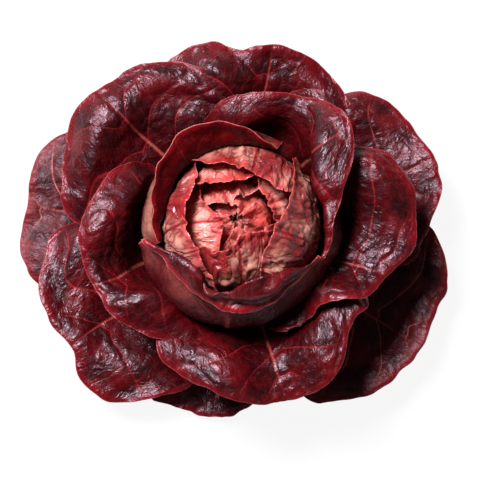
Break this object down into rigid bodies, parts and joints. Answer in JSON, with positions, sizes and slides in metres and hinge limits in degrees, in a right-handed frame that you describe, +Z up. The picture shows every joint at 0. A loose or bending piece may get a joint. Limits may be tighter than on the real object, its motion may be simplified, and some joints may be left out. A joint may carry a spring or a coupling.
{
  "type": "head of lettuce",
  "caption": "Head of red butterhead lettuce cut at the stem: spreading outer leaves, cupped middle leaves and a round folded heart.",
  "frame": {"origin": "middle of the stem's cut face, on the surface that the head stands on", "axes": "+Z up along the head's axis, +X to the right and +Y to the back as the head is looked down on"},
  "size_m": [0.2709, 0.2345, 0.1052],
  "materials": {
    "outer_leaf": "satin waxy leaf, deep burgundy with pinkish red veins",
    "middle_leaf": "satin waxy leaf, burgundy with crimson margins",
    "wrapper_leaf": "satin leaf, crimson inside and brownish pink outside",
    "heart_leaf": "blistered pale salmon leaf with red veins and margins",
    "bud_leaf": "thin coral pink leaf with pale margins",
    "stem": "matt pale cut stem, browned at the cut"
  },
  "bodies": {
    "root": {"stem": "stem", "outer_leaf_bottom": "outer_leaf", "outer_leaf_left": "outer_leaf", "outer_leaf_lower_right": "outer_leaf", "outer_leaf_lower_left": "outer_leaf", "outer_leaf_right": "outer_leaf", "outer_leaf_top": "outer_leaf", "outer_leaf_upper_left": "outer_leaf", "middle_leaf_bottom": "middle_leaf", "middle_leaf_left": "middle_leaf", "middle_leaf_right": "middle_leaf", "middle_leaf_upper_right": "middle_leaf", "wrapper_leaf_bottom": "wrapper_leaf", "wrapper_leaf_left": "wrapper_leaf", "heart_leaf_right": "heart_leaf", "heart_leaf_top": "heart_leaf", "heart_leaf_left": "heart_leaf", "heart_leaf_bottom": "heart_leaf", "inner_leaf_top": "heart_leaf", "inner_leaf_right": "heart_leaf", "inner_leaf_left": "heart_leaf", "inner_leaf_bottom": "heart_leaf", "bud_leaf_1": "bud_leaf", "bud_leaf_2": "bud_leaf", "bud_leaf_3": "bud_leaf", "bud_leaf_4": "bud_leaf", "bud_leaf_5": "bud_leaf"}
  },
  "joints": []
}
